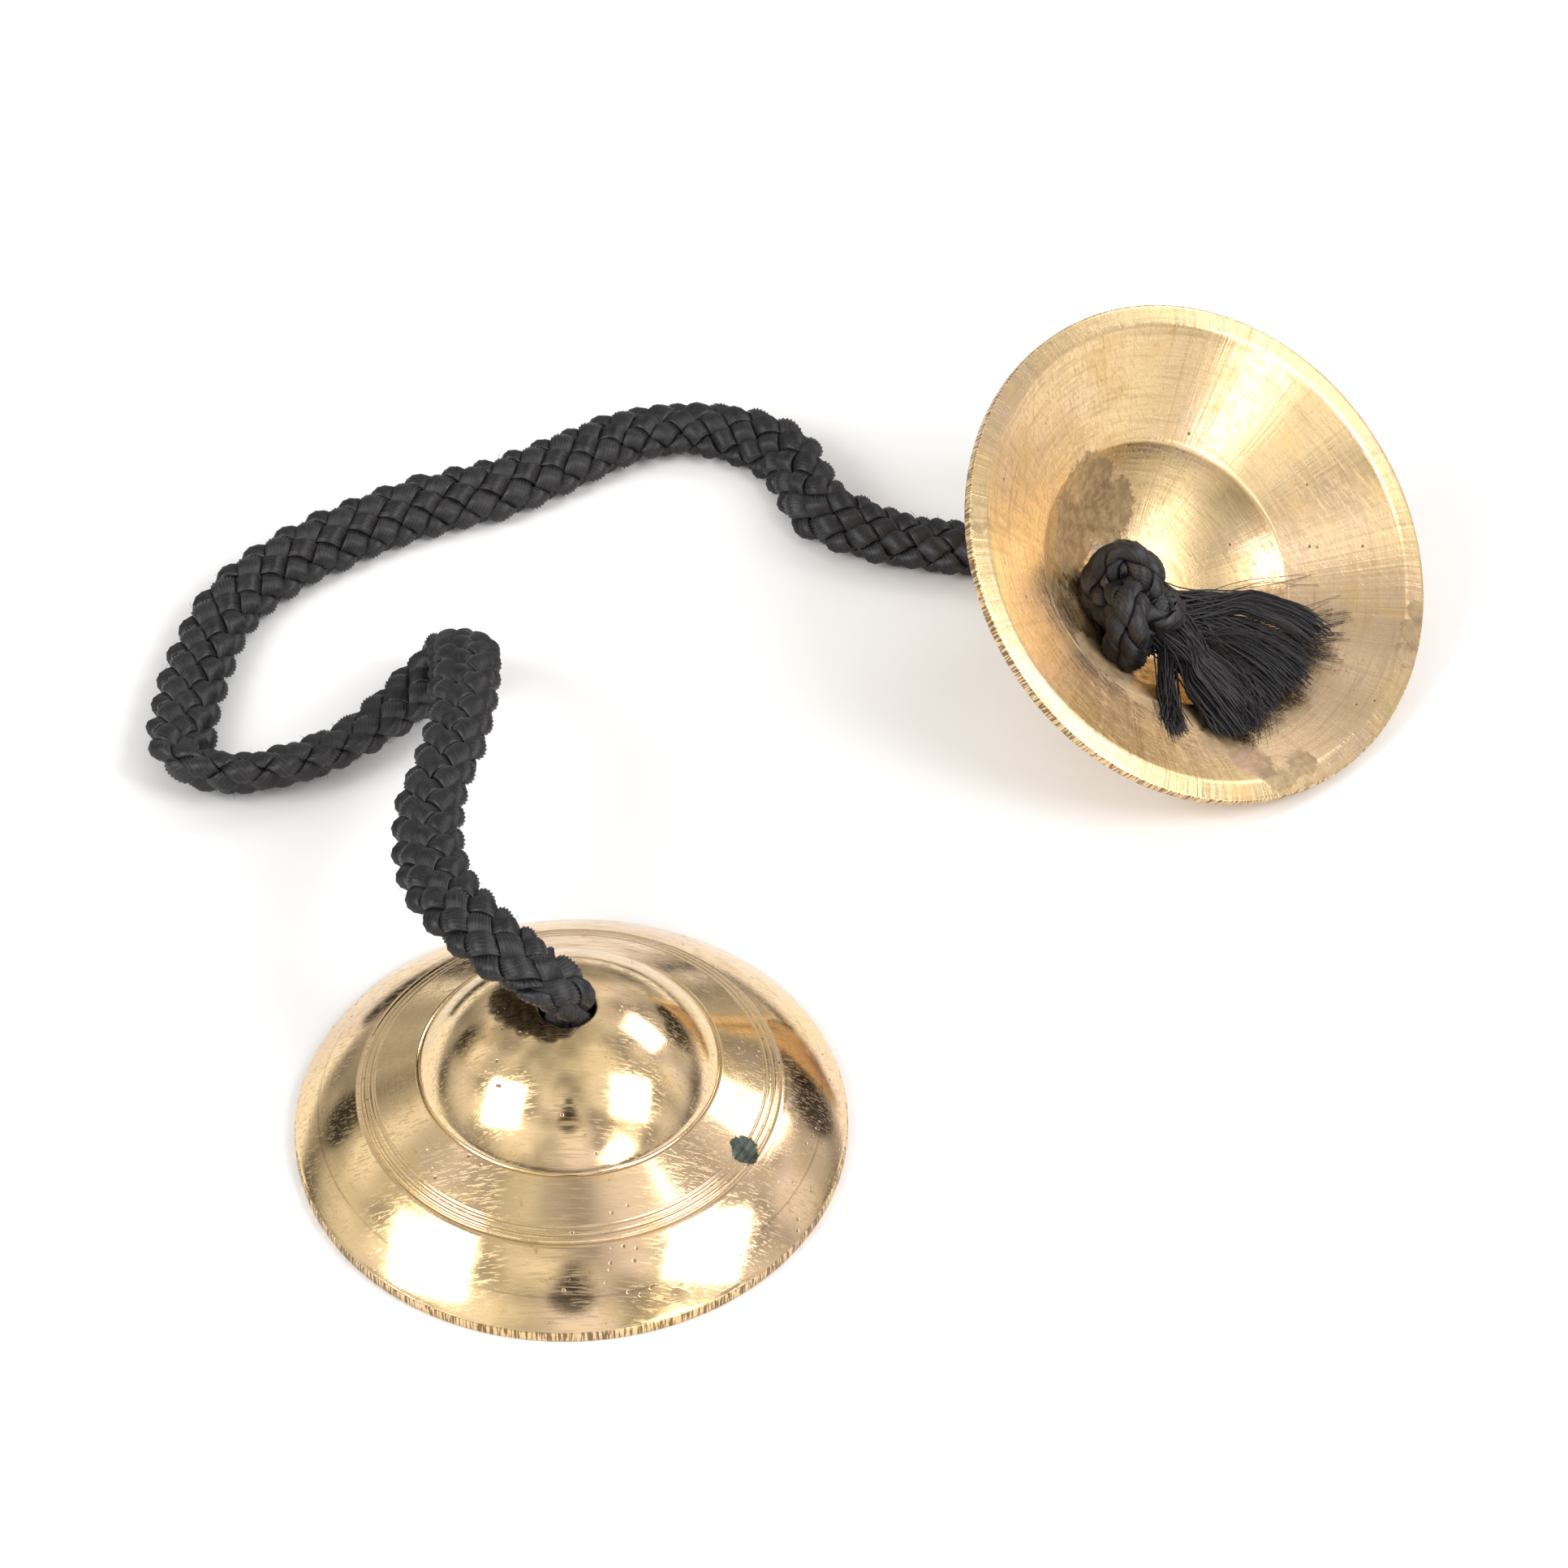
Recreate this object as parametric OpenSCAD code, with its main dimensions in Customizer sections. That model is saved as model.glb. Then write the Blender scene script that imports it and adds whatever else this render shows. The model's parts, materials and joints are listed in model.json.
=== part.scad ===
// A pair of cast and lathe-turned hand cymbals on one flat braided cord.
// The left cymbal stands on its lip with the dome up. The right one lies on its back, on its
// dome and the shoulder of its flange. The cord passes through both domes and is knotted inside.
// The origin is at the middle of the two cymbals, on the surface that they lie on.

/* [Cymbals] */
// Outside diameter of a cymbal
cymbal_d = 60; // [59:0.5:61]
// Height of the outer edge
edge_h = 1.3; // [1:0.1:1.5]
// Width of the flat lip that strikes the other cymbal
lip_w = 2.4; // [2:0.1:3]
// Radius of the shoulder, where the flange turns steeper
shoulder_r = 22.9; // [22.7:0.1:23.1]
// Height of the shoulder above the lip
shoulder_h = 7.1; // [6.9:0.1:7.2]
// Radius of the spherical dome
dome_r = 18.8; // [18.6:0.1:18.9]
// Height of the dome's centre above the lip
dome_centre_h = 1.05; // [0.95:0.05:1.1]
// Radius of the step where the dome meets the flange
step_r = 16; // [15.8:0.1:16.2]
// Depth of the turned grooves
groove_depth = 0.3; // [0.15:0.05:0.4]
// Radius of the cup's inner edge
cup_r = 16.2; // [16:0.1:16.4]
// Height of the cup's inner edge above the lip
cup_h = 7.9; // [7.7:0.1:8.1]
// Thickness of the metal at the hole
crown_t = 3; // [2.8:0.1:3]
// Diameter of the cord hole
hole_d = 6; // [5.8:0.1:6.2]

/* [Cord] */
// Width of the flat braid
cord_w = 8; // [7.4:0.1:8]
// Thickness of the flat braid
cord_t = 4.6; // [4.2:0.1:4.6]
// Length of the stopper knot inside each dome
knot_l = 14.4; // [13.5:0.1:14.4]
// Width of the stopper knot
knot_w = 11; // [10:0.1:11]
// Height of the stopper knot along the dome's axis
knot_h = 9.4; // [9:0.1:9.5]

/* [Placement] */
// Distance from the origin to the left cymbal's axis, along -X and along -Y
left_offset = 34; // [34:34]
// Distance from the origin to the middle of the right cymbal's lip, along X and along Y
right_offset = 37; // [37:37]
// Direction that the right cymbal's open side leans to, from +X
lean_dir = -44; // [-46:1:-42]

/* [Hidden] */

$fn = 180;
BRASS = "#cfae74";
CORD = "#2d2a2f";

// Cymbal profile, as [radius, height above the lip]
rim_r = cymbal_d / 2;
hole_r = hole_d / 2;
edge_bevel = 0.2;
arc_steps = 14;
groove_w = 0.7;
fine_groove_w = 0.45;
fine_groove_at = [0.16, 0.28];     // share of the way from the shoulder to the step
flange_bulge = 0.35;

function dome_h(r, extra = 0) = dome_centre_h + sqrt(pow(dome_r + extra, 2) - r * r);
step_h = dome_h(step_r);
crown_h = dome_h(hole_r);
// The cup is an arc through its edge and through a point crown_t under the dome's top.
cup_top = dome_h(0) - crown_t + 0.05;
cup_arc_r = (pow(cup_r, 2) + pow(cup_top - cup_h, 2)) / (2 * (cup_top - cup_h));
function cup_at(r) = cup_top - cup_arc_r + sqrt(cup_arc_r * cup_arc_r - r * r);

edge = [rim_r, edge_h];
shoulder = [shoulder_r, shoulder_h];
flange_curve = bulged(edge, shoulder, flange_bulge, 6);

// The right cymbal is tilted until its flange touches the surface that its dome lies on.
function tilt_to_touch(p) =
    asin(dome_r / norm([p[0], p[1] - dome_centre_h])) - atan2(p[1] - dome_centre_h, p[0]);
rest_tilt = min([for (p = concat(flange_curve, [shoulder])) tilt_to_touch(p)]);
left_at = [-left_offset, -left_offset, 0];
right_at = [right_offset, right_offset, dome_r + dome_centre_h * cos(rest_tilt)];

// The cord's flex points, just outside each hole, and the cord's end there
flex_h = crown_h + 2;
flex_r = cord_t / 2;
neck_gap = 0.3;
neck_play = 0.05;
neck_bury = 2.5;
neck_end_h = cup_at(hole_r) - neck_bury;
knot_at = [0.9, 4.4, 11.2];
knot_turn = 27;

// Route of the cord's centreline from the left hole to the right one, as [x, y, z]
cord_route = [
    [-34, -34, 21.6], [-36.5, -34, 24], [-40.5, -31.5, 25.3], [-44.5, -27, 25.2],
    [-48, -20.5, 24], [-49.5, -13, 22.6], [-49.5, -4.5, 21.5], [-48, 2.5, 20.8],
    [-47, 9.5, 20], [-47, 17, 18.5], [-47.5, 24.5, 15], [-48, 30.5, 10],
    [-49, 34, 5.5], [-51.5, 34, 3], [-54.5, 30, 2.8], [-57.5, 26.5, 2.8],
    [-62.5, 21.5, 3.2], [-75, 17, 3.6], [-78.5, 18, 3.5], [-80.5, 21, 3],
    [-80.5, 25, 2.7], [-79, 37.5, 2.4], [-76.5, 45.5, 2.5], [-71.5, 52, 2.6],
    [-63.5, 58, 2.8], [-55.5, 62.5, 2.8], [-45, 66.5, 2.8], [-36.5, 72, 2.6],
    [-29, 76.5, 2.4], [-21, 77.5, 2.4], [-14.5, 75, 2.8], [-11, 72, 3.2],
    [-9, 67.5, 3.5], [-7, 62.5, 3.4], [-3.5, 60, 3], [3, 57.5, 2.5],
    [16.5, 54.5, 2.4], [22, 51, 2.5], [27.5, 46, 2.6]
];
// Which way the flat cord's width points at each of those places
cord_flat = [
    [0, 1, 0], [0, 1, 0], [0.4, 0.9, 0], [0.8, 0.6, 0],
    [1, 0.3, 0.1], [1, 0, 0.3], [1, 0, 0.3], [1, 0, 0.3],
    [1, 0, 0.3], [1, 0, 0.2], [1, 0, 0.1], [1, -0.1, 0],
    [0.9, -0.4, 0], [0.7, -0.7, 0], [0.6, -0.7, 0.2], [0.5, -0.7, 0.4],
    [0.4, -0.7, 0.6], [0, -0.7, 0.8], [-0.4, -0.5, 0.8], [-0.9, -0.1, 0.5],
    [-1, 0, 0.2], [-1, 0.2, 0.1], [-0.9, 0.4, 0.2], [-0.7, 0.7, 0.3],
    [-0.5, 0.8, 0.4], [-0.4, 0.9, 0.4], [-0.4, 0.9, 0.4], [-0.4, 0.9, 0.2],
    [-0.2, 1, 0], [0.1, 1, 0], [0.5, 0.8, 0.4], [0.7, 0.5, 0.6],
    [0.8, 0.2, 0.7], [0.7, 0.4, 0.6], [0.5, 0.8, 0.3], [0.3, 1, 0],
    [0.4, 0.9, 0], [0.6, 0.8, 0], [0.7, 0.7, 0]
];
last = len(cord_route) - 1;
taper = 2;                 // route points over which the braid narrows towards each hole
function near_end(i) = min(1, min(i, last - i) / taper);
cord_wide = [for (i = [0:last]) flex_r + (cord_w / 2 - flex_r) * near_end(i)];
cord_thick = [for (i = [0:last]) cord_t / 2];

// Tassels in their cymbal's own frame: centreline, half widths and half thicknesses
tassel_flat = [0.15, 1, 0];
tassel_wide = [3, 3.6, 5, 7, 8.4, 9];
tassel_thick = [2.4, 2.2, 1.9, 1.6, 1.3, 0.9];
tassel_right_route = [
    [4.5, 2.5, 10.5], [8.5, 0.5, 9], [12.5, -0.8, 6.8],
    [16, -1.2, 4.5], [18.8, -0.9, 3], [20.8, -0.6, 2]
];
tassel_left_route = [
    [4.5, 2.5, 9.5], [8.5, 0.5, 6.3], [12.5, -0.8, 3.4],
    [16, -1.2, 2.2], [18.8, -0.9, 1.7], [20.8, -0.6, 1.3]
];

function unit(v) = v / norm(v);
function across(v, along) = unit(v - (v * along) * along);
function direction(route, i) =
    unit(route[min(i + 1, len(route) - 1)] - route[max(i - 1, 0)]);

// A closed tube of oval rings. Each ring is [centre, direction, width direction, half width,
// half thickness].
module tube(rings, sides = 10) {
    count = len(rings);
    points = [for (ring = rings) let (side = across(ring[2], ring[1]), up = cross(ring[1], side))
        for (k = [0:sides - 1])
            ring[0] + ring[3] * cos(360 * k / sides) * side + ring[4] * sin(360 * k / sides) * up];
    walls = [for (i = [0:count - 2]) for (k = [0:sides - 1]) let (next = (k + 1) % sides)
        each [[i * sides + k, (i + 1) * sides + k, i * sides + next],
              [i * sides + next, (i + 1) * sides + k, (i + 1) * sides + next]]];
    near_cap = [for (k = [0:sides - 1]) k];
    far_cap = [for (k = [sides - 1:-1:0]) (count - 1) * sides + k];
    polyhedron(points, concat([near_cap], walls, [far_cap]));
}

function rings_along(route, flat, wide, thick) =
    [for (i = [0:len(route) - 1])
        [route[i], direction(route, i), is_num(flat[0]) ? flat : flat[i], wide[i], thick[i]]];

// The cord's end at a flex point is a ball, so that it can turn in front of the neck.
nose_angles = [75, 50, 25];
function nose(centre, outward, flat, angles) =
    [for (a = angles)
        [centre + flex_r * sin(a) * outward, outward, flat, flex_r * cos(a), flex_r * cos(a)]];

// A V groove across a straight stretch from a to b, centred a share of the way along it
function groove(a, b, share, width, depth) =
    let (along = unit(b - a), into = [-along[1], along[0]], middle = a + share * (b - a))
        [middle - along * width / 2, middle + into * depth, middle + along * width / 2];

function bulged(a, b, height, steps) =
    let (outward = [unit(b - a)[1], -unit(b - a)[0]])
        [for (k = [1:steps - 1]) let (t = k / steps) a + t * (b - a) + 4 * t * (1 - t) * height * outward];

module cymbal_profile() {
    step = [step_r + 0.5, step_h - 0.25];
    inner_lip = [rim_r - lip_w, 0];
    polygon(concat(
        [[rim_r - edge_bevel, 0], [rim_r, edge_bevel], edge],
        flange_curve,
        groove(shoulder, step, 0.05, groove_w, groove_depth),
        groove(shoulder, step, fine_groove_at[0], fine_groove_w, groove_depth * 0.6),
        groove(shoulder, step, fine_groove_at[1], fine_groove_w, groove_depth * 0.6),
        [step, [step_r + 0.15, step_h - 0.35]],
        [for (k = [0:arc_steps]) let (r = step_r + (hole_r - step_r) * k / arc_steps) [r, dome_h(r)]],
        [for (k = [arc_steps:-1:0]) let (r = hole_r + (cup_r - hole_r) * k / arc_steps)
            [cup_r + hole_r - r, cup_at(cup_r + hole_r - r)]],
        [[cup_r + 0.3, cup_h - 0.15], inner_lip]
    ));
}

module cymbal() {
    color(BRASS) rotate_extrude() cymbal_profile();
}

// The braid squeezed through the hole
module neck() {
    color(CORD) translate([0, 0, neck_end_h])
        cylinder(r = hole_r - neck_play, h = flex_h - flex_r - neck_gap - neck_end_h);
}

module knot() {
    color(CORD) translate(knot_at) rotate([0, 0, knot_turn])
        scale([knot_l, knot_w, knot_h] / 2) sphere(r = 1, $fn = 32);
}

module tassel(route) {
    color(CORD) tube(rings_along(route, tassel_flat, tassel_wide, tassel_thick));
}

module at_left() { translate(left_at) children(); }
module at_right() { translate(right_at) rotate([0, rest_tilt, lean_dir]) rotate([180, 0, 0]) children(); }

module cymbal_left() { at_left() cymbal(); }
module cymbal_right() { at_right() cymbal(); }
module cord_neck_left() { at_left() neck(); }
module cord_neck_right() { at_right() neck(); }
module knot_left() { at_left() knot(); }
module knot_right() { at_right() knot(); }
module tassel_left() { at_left() tassel(tassel_left_route); }
module tassel_right() { at_right() tassel(tassel_right_route); }

module cord() {
    start = direction(cord_route, 0);
    end = direction(cord_route, last);
    color(CORD) tube(concat(
        [for (ring = nose(cord_route[0], -start, cord_flat[0], nose_angles))
            [ring[0], start, ring[2], ring[3], ring[4]]],
        rings_along(cord_route, cord_flat, cord_wide, cord_thick),
        nose(cord_route[last], end, cord_flat[last], [25, 50, 75])
    ));
}

cymbal_left();
cymbal_right();
cord();
cord_neck_left();
cord_neck_right();
knot_left();
knot_right();
tassel_left();
tassel_right();
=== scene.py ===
import json
import math

import bpy
import numpy as np
from mathutils import Matrix, Vector


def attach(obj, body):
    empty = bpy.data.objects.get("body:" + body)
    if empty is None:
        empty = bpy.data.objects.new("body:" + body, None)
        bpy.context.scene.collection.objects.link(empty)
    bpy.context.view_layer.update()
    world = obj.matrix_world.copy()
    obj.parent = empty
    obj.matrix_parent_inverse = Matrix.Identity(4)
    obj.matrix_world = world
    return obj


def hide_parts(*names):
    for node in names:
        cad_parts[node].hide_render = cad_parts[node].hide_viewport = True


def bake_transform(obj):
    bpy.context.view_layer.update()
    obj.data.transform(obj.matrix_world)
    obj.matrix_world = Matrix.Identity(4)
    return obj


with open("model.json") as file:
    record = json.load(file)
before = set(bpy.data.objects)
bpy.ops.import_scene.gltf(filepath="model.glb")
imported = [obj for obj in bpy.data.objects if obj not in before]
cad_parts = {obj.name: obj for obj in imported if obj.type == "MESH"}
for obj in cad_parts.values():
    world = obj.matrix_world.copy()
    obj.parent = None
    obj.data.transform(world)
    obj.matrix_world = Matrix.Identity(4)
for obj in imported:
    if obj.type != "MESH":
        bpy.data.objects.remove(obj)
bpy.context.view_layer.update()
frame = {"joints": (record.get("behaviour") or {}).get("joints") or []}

MM = 0.001

# ---------------------------------------------------------------- camera

CAMERA_AT = (-0.01096, -0.4432, 0.4635)
CAMERA_PITCH = math.radians(44.9)
CAMERA_LENS = 130.43


def add_camera():
    data = bpy.data.cameras.new("camera")
    data.lens = CAMERA_LENS
    data.sensor_width = 36
    data.clip_start = 0.01
    camera = bpy.data.objects.new("camera", data)
    camera.location = CAMERA_AT
    camera.rotation_euler = (CAMERA_PITCH, 0, 0)
    bpy.context.scene.collection.objects.link(camera)
    bpy.context.scene.camera = camera


# ---------------------------------------------------------------- where things are

JOINTS = {joint["name"]: joint for joint in frame["joints"]}
LEFT_FLEX = np.array(JOINTS["left_tip"]["pos_m"])
RIGHT_FLEX = np.array(JOINTS["right_tip"]["pos_m"])


def cymbal_placement(spin):
    """The matrix from a cymbal's own frame, dome up and lip at height 0, to the row frame."""
    axis = Vector(JOINTS[spin]["axis"])
    place = Matrix.Translation(JOINTS[spin]["pos_m"])
    if axis.z > 0.999:
        place.translation.z = 0
        return place
    tilt = math.acos(axis.z)
    lean = math.atan2(axis.y, axis.x)
    over = Matrix.Rotation(math.pi, 4, "X")
    return place @ Matrix.Rotation(lean, 4, "Z") @ Matrix.Rotation(tilt, 4, "Y") @ over


LEFT_PLACE = cymbal_placement("left_spin")
RIGHT_PLACE = cymbal_placement("right_spin")


def placed(points, place):
    """Points from a cymbal's own frame as an array in the row frame."""
    turn = np.array(place)[:3, :3]
    return np.asarray(points) @ turn.T + np.array(place.translation)


def turned(vectors, place):
    return np.asarray(vectors) @ np.array(place)[:3, :3].T


# ---------------------------------------------------------------- the cord's route

# The cord's centreline from the left hole to the right one, in metres
ROUTE = [
    (-.034, -.034, .0216), (-.0365, -.034, .024), (-.0405, -.0315, .0253), (-.0445, -.027, .0252),
    (-.048, -.0205, .024), (-.0495, -.013, .0226), (-.0495, -.0045, .0215), (-.048, .0025, .0208),
    (-.047, .0095, .02), (-.047, .017, .0185), (-.0475, .0245, .015), (-.048, .0305, .01),
    (-.049, .034, .0055), (-.0515, .034, .003), (-.0545, .030, .0028), (-.0575, .0265, .0028),
    (-.0625, .0215, .0032), (-.075, .017, .0036), (-.0785, .018, .0035), (-.0805, .021, .003),
    (-.0805, .025, .0027), (-.079, .0375, .0024), (-.0765, .0455, .0025), (-.0715, .052, .0026),
    (-.0635, .058, .0028), (-.0555, .0625, .0028), (-.045, .0665, .0028), (-.0365, .072, .0026),
    (-.029, .0765, .0024), (-.021, .0775, .0024), (-.0145, .075, .0028), (-.011, .072, .0032),
    (-.009, .0675, .0035), (-.007, .0625, .0034), (-.0035, .060, .003), (.003, .0575, .0025),
    (.0165, .0545, .0024), (.022, .051, .0025), (.0275, .046, .0026),
]
# Which way the flat braid's width points at each of those places
FLAT = [
    (0, 1, 0), (0, 1, 0), (.4, .9, 0), (.8, .6, 0),
    (1, .3, .1), (1, 0, .3), (1, 0, .3), (1, 0, .3),
    (1, 0, .3), (1, 0, .2), (1, 0, .1), (1, -.1, 0),
    (.9, -.4, 0), (.7, -.7, 0), (.6, -.7, .2), (.5, -.7, .4),
    (.4, -.7, .6), (0, -.7, .8), (-.4, -.5, .8), (-.9, -.1, .5),
    (-1, 0, .2), (-1, .2, .1), (-.9, .4, .2), (-.7, .7, .3),
    (-.5, .8, .4), (-.4, .9, .4), (-.4, .9, .4), (-.4, .9, .2),
    (-.2, 1, 0), (.1, 1, 0), (.5, .8, .4), (.7, .5, .6),
    (.8, .2, .7), (.7, .4, .6), (.5, .8, .3), (.3, 1, 0),
    (.4, .9, 0), (.6, .8, 0), (.7, .7, 0),
]

CORD_WIDE = 8 * MM
CORD_THICK = 4.6 * MM
BORE_HALF = 2.85 * MM             # half width of the braid squeezed into a hole
TAPER = 5 * MM                    # length over which it opens out again
TAPER_START = 2.2 * MM            # how far inside the flex point it starts to open
NECK_DEPTH = 7 * MM               # how far a neck runs into its hole from the flex point
NECK_REACH = 4 * MM               # how far a neck runs out over the flex point
BEND_HALF = 2 * MM                # half the length over which a neck would bend when its cymbal tips; nothing here bends the necks
# Heights in mm of the braid's line inside a hole, and its direction where it leaves the left one
BORE_HEIGHTS = [12.6, 15.0, 18.2]
LEFT_OUTWARD = np.array([-0.45, 0, 0.9])


class Line:
    """A smooth curve through points, with a width direction, looked up by length along it."""

    LOOK = 0.6 * MM               # how far ahead and behind the direction is taken

    def __init__(self, points, flat, steps=60):
        points = np.asarray(points, float)
        flat = np.asarray(flat, float)
        ends = np.vstack([2 * points[0] - points[1], points, 2 * points[-1] - points[-2]])
        share = np.linspace(0, 1, steps, endpoint=False)[:, None]
        run, hint = [], []
        for i in range(1, len(ends) - 2):
            run.append(self.span(*ends[i - 1:i + 3], share))
            hint.append(flat[i - 1] * (1 - share) + flat[i] * share)
        self.run = np.vstack(run + [points[-1:]])
        self.hint = np.vstack(hint + [flat[-1:]])
        gaps = np.linalg.norm(np.diff(self.run, axis=0), axis=1)
        self.far = np.concatenate([[0], np.cumsum(gaps)])
        self.length = self.far[-1]

    @staticmethod
    def span(p0, p1, p2, p3, t):
        d1, d2, d3 = (np.linalg.norm(b - a) for a, b in ((p0, p1), (p1, p2), (p2, p3)))
        m1 = d2 * ((p1 - p0) / d1 - (p2 - p0) / (d1 + d2) + (p2 - p1) / d2)
        m2 = d2 * ((p2 - p1) / d2 - (p3 - p1) / (d2 + d3) + (p3 - p2) / d3)
        return ((2 * t**3 - 3 * t**2 + 1) * p1 + (t**3 - 2 * t**2 + t) * m1
                + (3 * t**2 - 2 * t**3) * p2 + (t**3 - t**2) * m2)

    def look(self, table, s):
        flat_s = np.ravel(s)
        columns = [np.interp(flat_s, self.far, table[:, k]) for k in range(3)]
        return np.stack(columns, -1).reshape(np.shape(s) + (3,))

    def at(self, s):
        return self.look(self.run, np.clip(s, 0, self.length))

    def frame(self, s):
        """Centre, width direction and thickness direction at lengths s along the line."""
        s = np.clip(s, 0, self.length)
        ahead = self.look(self.run, np.minimum(s + self.LOOK, self.length))
        behind = self.look(self.run, np.maximum(s - self.LOOK, 0))
        along = ahead - behind
        along /= np.linalg.norm(along, axis=-1, keepdims=True)
        wide = self.look(self.hint, s)
        wide -= np.sum(wide * along, -1, keepdims=True) * along
        wide /= np.linalg.norm(wide, axis=-1, keepdims=True)
        return self.at(s), wide, np.cross(along, wide)


# ---------------------------------------------------------------- meshes

def mesh_piece(name, points, faces, material, uv=None, smooth=True):
    """A mesh object from arrays. faces has rows of corner numbers, uv a row per point or corner."""
    mesh = bpy.data.meshes.new(name)
    mesh.from_pydata(np.asarray(points).tolist(), [], [list(face) for face in faces])
    if uv is not None:
        layer = mesh.uv_layers.new(name="strand")
        uv = np.asarray(uv, np.float32)
        if len(uv) != len(mesh.loops):
            corners = np.empty(len(mesh.loops), np.int32)
            mesh.loops.foreach_get("vertex_index", corners)
            uv = uv[corners]
        layer.data.foreach_set("uv", uv.ravel())
    mesh.polygons.foreach_set("use_smooth", [smooth] * len(mesh.polygons))
    mesh.materials.append(material)
    mesh.update()
    piece = bpy.data.objects.new(name, mesh)
    bpy.context.scene.collection.objects.link(piece)
    return piece


def tube_faces(rings, around, first=0):
    """Quads and end caps of a tube whose points are numbered ring by ring from first."""
    i, k = np.meshgrid(np.arange(rings - 1), np.arange(around), indexing="ij")
    near = first + i * around
    after = (k + 1) % around
    quads = np.stack([near + k, near + after, near + around + after, near + around + k], -1)
    last = first + (rings - 1) * around
    caps = [list(range(first + around - 1, first - 1, -1)), list(range(last, last + around))]
    return quads.reshape(-1, 4).tolist() + caps


# ---------------------------------------------------------------- the cymbals' sizes, in mm

RIM_R, EDGE_H, EDGE_BEVEL, LIP_W = 30.0, 1.3, 0.2, 2.4
SHOULDER = np.array([22.9, 7.1])
FLANGE_BULGE = 0.35
DOME_R, DOME_CENTRE_H, STEP_R = 18.8, 1.05, 16.0
CUP_R, CUP_H, CROWN_T, HOLE_R = 16.2, 7.9, 3.0, 3.0
# Grooves in the inner flange: where along it from the shoulder, how wide and how deep
GROOVES = [(0.045, 0.55, 0.2), (0.16, 0.34, 0.13), (0.27, 0.30, 0.11)]
BURR = 0.02                       # height of the raised edges of a groove
LATHE_STEPS = 384
SWAY_WAVES_ROUND = (2, 3, 5, 9)   # waves of unevenness once round a cymbal
SWAY_DEPTH, NICK_DEPTH = 0.02, 0.03
YARN_GAP = 0.25                   # least room between a yarn's middle and the metal


def dome_h(r):
    return DOME_CENTRE_H + np.sqrt(DOME_R**2 - r**2)


def cup_h(r):
    top = dome_h(0) - CROWN_T + 0.05
    arc = (CUP_R**2 + (top - CUP_H) ** 2) / (2 * (top - CUP_H))
    return top - arc + np.sqrt(arc**2 - r**2)


# ---------------------------------------------------------------- braid

TABLE = 0.0                       # height of the surface that the object lies on
PITCH = 17 * MM                   # length over which a strand goes once round the braid
STRANDS = 4                       # strands each way round
YARNS = 8                         # ridges across a strand
CRIMP = 1.25 * MM                 # how much deeper a strand lies where it goes under
STRAND_HALF = 0.74 * MM           # half the thickness of a strand
STRAND_FILL = 0.95                # share of its lane that a strand fills
STRAND_FLATNESS = 2.6             # 2 for a round top, more for a flatter one
RIDGE = 0.11 * MM                 # half the height of a ridge
STEP = 0.45                       # length of a mesh step, in sixteenths of the pitch
UNDER_STEPS = 5                   # points across the hidden side of a strand
CROWN_RISE = 0.18                 # how much thicker a strand is where it goes over
# Unevenness of the braid: of a strand's width, its place round and along, and its thickness
WIDTH_SWAY, TURN_SWAY, SHIFT_SWAY, CROWN_SWAY = 0.03, 0.04, 0.12, 0.13
SWAY_WAVES = (7.0, 12.5, 23.0)    # wavelengths of the sway, in sixteenths of the pitch


def strand_section():
    """Across and up shares of the closed section of one strand, with ridged yarns on top."""
    across = np.linspace(-1, 1, 2 * YARNS + 1)
    ridge = np.where(np.arange(2 * YARNS + 1) % 2, 1.0, -1.0)
    ridge[[0, -1]] = 0
    top = np.sqrt(1 - np.abs(across) ** STRAND_FLATNESS)
    under = np.linspace(1, -1, UNDER_STEPS + 2)[1:-1]
    below = -np.sqrt(1 - under**2)
    shares = np.concatenate([across, under])
    return shares, np.concatenate([top, below]), np.concatenate([ridge, np.zeros(UNDER_STEPS)])


def drift(along, size, rng):
    """A slow random sway of about the given size along a strand."""
    total = np.zeros_like(along)
    for wave in SWAY_WAVES:
        total += np.sin(along * 2 * math.pi / wave + rng.uniform(0, 2 * math.pi))
    return total * size / 2


def on_braid(line, s, angle, rise, half_wide, half_thick):
    """Points at an angle round the braid's oval section, and rise above its strands' middle."""
    wide = half_wide(s) - STRAND_HALF
    thick = half_thick(s) - STRAND_HALF
    squash = (wide - thick) / (wide + thick) / 2
    turn = angle + squash * np.sin(2 * angle)
    x, y = np.cos(turn), np.sin(turn)
    out = np.stack([x / wide, y / thick], -1)
    out /= np.linalg.norm(out, axis=-1, keepdims=True)
    centre, side, up = line.frame(s)
    x = (wide * x + rise * out[..., 0])[..., None]
    y = (thick * y + rise * out[..., 1])[..., None]
    return centre + x * side + y * up


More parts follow.
